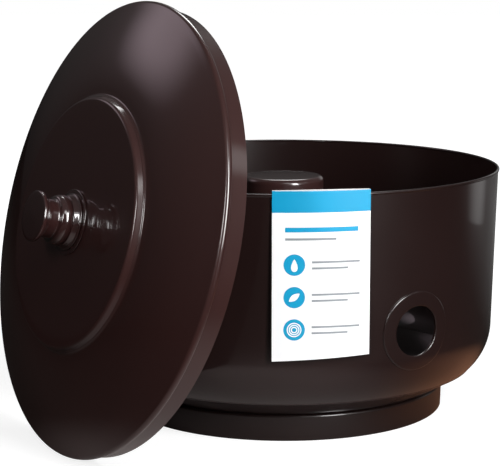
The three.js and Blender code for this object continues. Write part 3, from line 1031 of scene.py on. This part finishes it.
along = add_node(floor_white, "ShaderNodeSeparateXYZ", links={0: floor_place})
behind = add_node(
    floor_white,
    "ShaderNodeMapRange",
    {
        "From Min": SWEEP_NEAR - FLOOR_FORWARD,
        "From Max": SWEEP_FAR - FLOOR_FORWARD,
        "To Max": SWEEP_LEVEL,
    },
    {"Value": along.outputs["Y"]},
).outputs["Result"]
rightward = add_node(
    floor_white,
    "ShaderNodeMapRange",
    {"From Min": SWEEP_LEFT, "From Max": SWEEP_RIGHT},
    {"Value": along.outputs["X"]},
).outputs["Result"]
sweep = add_node(
    floor_white, "ShaderNodeMath", links={0: behind, 1: rightward}, operation="MULTIPLY"
).outputs[0]
mirrored = add_node(
    floor_white,
    "ShaderNodeMix",
    {MIX_A: colour("2b2927"), MIX_B: colour("ffffff")},
    {0: sweep},
    data_type="RGBA",
).outputs[MIXED]
for (x, y), rim, core, tint, level in PAINTED_LIGHT_POOLS:
    away = add_node(
        floor_white,
        "ShaderNodeVectorMath",
        {1: (x, y - FLOOR_FORWARD, 0)},
        {0: floor_place},
        operation="DISTANCE",
    )
    lit = add_node(
        floor_white,
        "ShaderNodeMapRange",
        {"From Min": rim, "From Max": core, "To Max": level},
        {"Value": away.outputs["Value"]},
        interpolation_type="SMOOTHSTEP",
    ).outputs["Result"]
    mirrored = add_node(
        floor_white,
        "ShaderNodeMix",
        {MIX_B: colour(tint)},
        {0: lit, MIX_A: mirrored},
        data_type="RGBA",
    ).outputs[MIXED]
print("pools on the mirrored floor:", len(PAINTED_LIGHT_POOLS))

# %% [markdown]
# The floor that the camera sees is a light grey that takes the pot's shadow, mixed with a
# glow of its own. The glow is a little weaker near the pot, where the shadow is wanted, and
# strong enough farther out to meet the white world without a line.

# %% The floor as the camera sees it
NEAR_GLOW, FAR_GLOW = 0.8, 1.02
GLOW_START, GLOW_END = 0.35, 0.9
GLOW_SHARE = 0.55

seen_grey = add_node(
    floor_white,
    "ShaderNodeMix",
    {MIX_B: colour("e6e6e6")},
    {0: seen, MIX_A: mirrored},
    data_type="RGBA",
).outputs[MIXED]
matt = add_node(floor_white, "ShaderNodeBsdfDiffuse", links={"Color": seen_grey})
from_pot = add_node(
    floor_white,
    "ShaderNodeVectorMath",
    {1: (0, -FLOOR_FORWARD, 0)},
    {0: floor_place},
    operation="DISTANCE",
)
glow_level = add_node(
    floor_white,
    "ShaderNodeMapRange",
    {
        "From Min": GLOW_START,
        "From Max": GLOW_END,
        "To Min": NEAR_GLOW / GLOW_SHARE,
        "To Max": FAR_GLOW / GLOW_SHARE,
    },
    {"Value": from_pot.outputs["Value"]},
).outputs["Result"]
glow = add_node(floor_white, "ShaderNodeEmission", links={"Strength": glow_level})
share = add_node(floor_white, "ShaderNodeMath", {1: GLOW_SHARE}, {0: seen}, operation="MULTIPLY")
both = add_node(
    floor_white,
    "ShaderNodeMixShader",
    links={0: share.outputs[0], 1: matt.outputs[0], 2: glow.outputs[0]},
)
floor_white.node_tree.links.new(both.outputs[0], floor_output.inputs["Surface"])
floor.data.materials.append(floor_white)
print("floor nodes:", len(floor_white.node_tree.nodes))

# %% [markdown]
# The mirrored world is almost black at the horizon and a dim white from well above it, so
# that no bright edge shows in the paint where the dark floor ends.

# %% World
HORIZON_LEVEL = 0.012
STUDIO_LEVEL = 0.1
STUDIO_HEIGHT = 0.6
WHITE = (1, 1, 1, 1)

world = bpy.data.worlds.new("studio")
world.use_nodes = True
world.node_tree.nodes.clear()
bpy.context.scene.world = world
sky_output = add_node(world, "ShaderNodeOutputWorld")
rays = add_node(world, "ShaderNodeLightPath")
plain_white = add_node(world, "ShaderNodeBackground", {"Color": WHITE, "Strength": 1})
outward = add_node(world, "ShaderNodeTexCoord").outputs["Generated"]
upward = add_node(world, "ShaderNodeSeparateXYZ", links={0: outward}).outputs["Z"]
studio_level = add_node(
    world,
    "ShaderNodeMapRange",
    {"From Max": STUDIO_HEIGHT, "To Min": HORIZON_LEVEL, "To Max": STUDIO_LEVEL},
    {"Value": upward},
).outputs["Result"]
studio = add_node(world, "ShaderNodeBackground", {"Color": WHITE}, {"Strength": studio_level})
to_white = add_node(
    world,
    "ShaderNodeMath",
    links={0: rays.outputs["Is Camera Ray"], 1: rays.outputs["Is Transmission Ray"]},
    operation="MAXIMUM",
)
sky = add_node(
    world,
    "ShaderNodeMixShader",
    links={0: to_white.outputs[0], 1: studio.outputs[0], 2: plain_white.outputs[0]},
)
world.node_tree.links.new(sky.outputs[0], sky_output.inputs["Surface"])
print("studio level:", HORIZON_LEVEL, "to", STUDIO_LEVEL)

# %% [markdown]
# The lamps are soft boxes, each set where a highlight of the picture points. A plain area
# lamp has a hard edge, and the clear film would mirror it as a hard-edged shape. So each lamp
# has nodes of its own that fade its light from the middle to the edge: a fade of 1 ends in
# nothing, and a smaller one leaves the edge part of its light.

# %% Soft boxes
LAMP_MIDDLE = (0.5, 0.5, 0)
FADE_ENDS = 0.5
FADE_LENGTH = 0.4


def soft_box(name, place, target, size, power, tint="ffffff", fade=1.0):
    """A soft box that faces a target, hidden from the camera, whose light fades to its edge."""
    bpy.ops.object.select_all(action="DESELECT")
    bpy.ops.object.light_add(type="AREA", location=place)
    lamp = bpy.context.object
    lamp.name = name
    lamp.data.shape = "RECTANGLE"
    lamp.data.size, lamp.data.size_y = size
    lamp.data.energy = power
    lamp.data.color = colour(tint)[:3]
    lamp.rotation_euler = (Vector(target) - Vector(place)).to_track_quat("-Z", "Y").to_euler()
    lamp.visible_camera = False
    lamp.data.use_nodes = True
    tree = lamp.data.node_tree
    tree.nodes.clear()
    on_lamp = add_node(lamp.data, "ShaderNodeNewGeometry").outputs["Parametric"]
    off_centre = add_node(
        lamp.data, "ShaderNodeVectorMath", {1: LAMP_MIDDLE}, {0: on_lamp}, operation="DISTANCE"
    )
    level = add_node(
        lamp.data,
        "ShaderNodeMapRange",
        {
            "From Min": FADE_ENDS,
            "From Max": FADE_ENDS - FADE_LENGTH * fade,
            "To Min": 1 - fade,
            "To Max": 1,
        },
        {"Value": off_centre.outputs["Value"]},
        interpolation_type="SMOOTHSTEP",
    ).outputs["Result"]
    light = add_node(lamp.data, "ShaderNodeEmission", {"Color": WHITE}, {"Strength": level})
    lamp_output = add_node(lamp.data, "ShaderNodeOutputLight")
    tree.links.new(light.outputs["Emission"], lamp_output.inputs["Surface"])
    print(name, "mean radiance unfaded", round(power / (math.pi * size[0] * size[1]), 2))


soft_box("lid_top", (-1.42, 0.54, 1.25), (-0.14, -0.2, 0.4), (1.2, 0.9), 3.8, "ffe6f2")
soft_box("key", (1.2, -1.7, 1.0), (0, -0.1, 0.2), (0.7, 1.5), 84, fade=0.5)
soft_box("front_left", (-0.9, -1.9, 1.05), (-0.2, -0.2, 0.2), (0.3, 1.2), 42)
soft_box("front_top", (0.5, -1.8, 2.0), (0, 0, 0.15), (1.6, 1.0), 16)
soft_box("right_high", (1.25, -0.43, 1.0), (0, -0.3, 0.25), (0.4, 0.6), 1)
soft_box("right_low", (1.15, 0.55, 0.12), (0.2, 0, 0.1), (0.6, 0.6), 0.6)
soft_box("back_sweep", (1.1, 2.3, 0.8), (0.2, 0, 0.1), (2.0, 1.4), 3)
soft_box("back_top", (0.1, 1.6, 2.1), (0, 0.1, 0.1), (1.6, 1.0), 45)

# %% [markdown]
# ## Finish
#
# Standard view keeps colours as they are written.

# %% Finish
bpy.context.scene.view_settings.view_transform = "Standard"
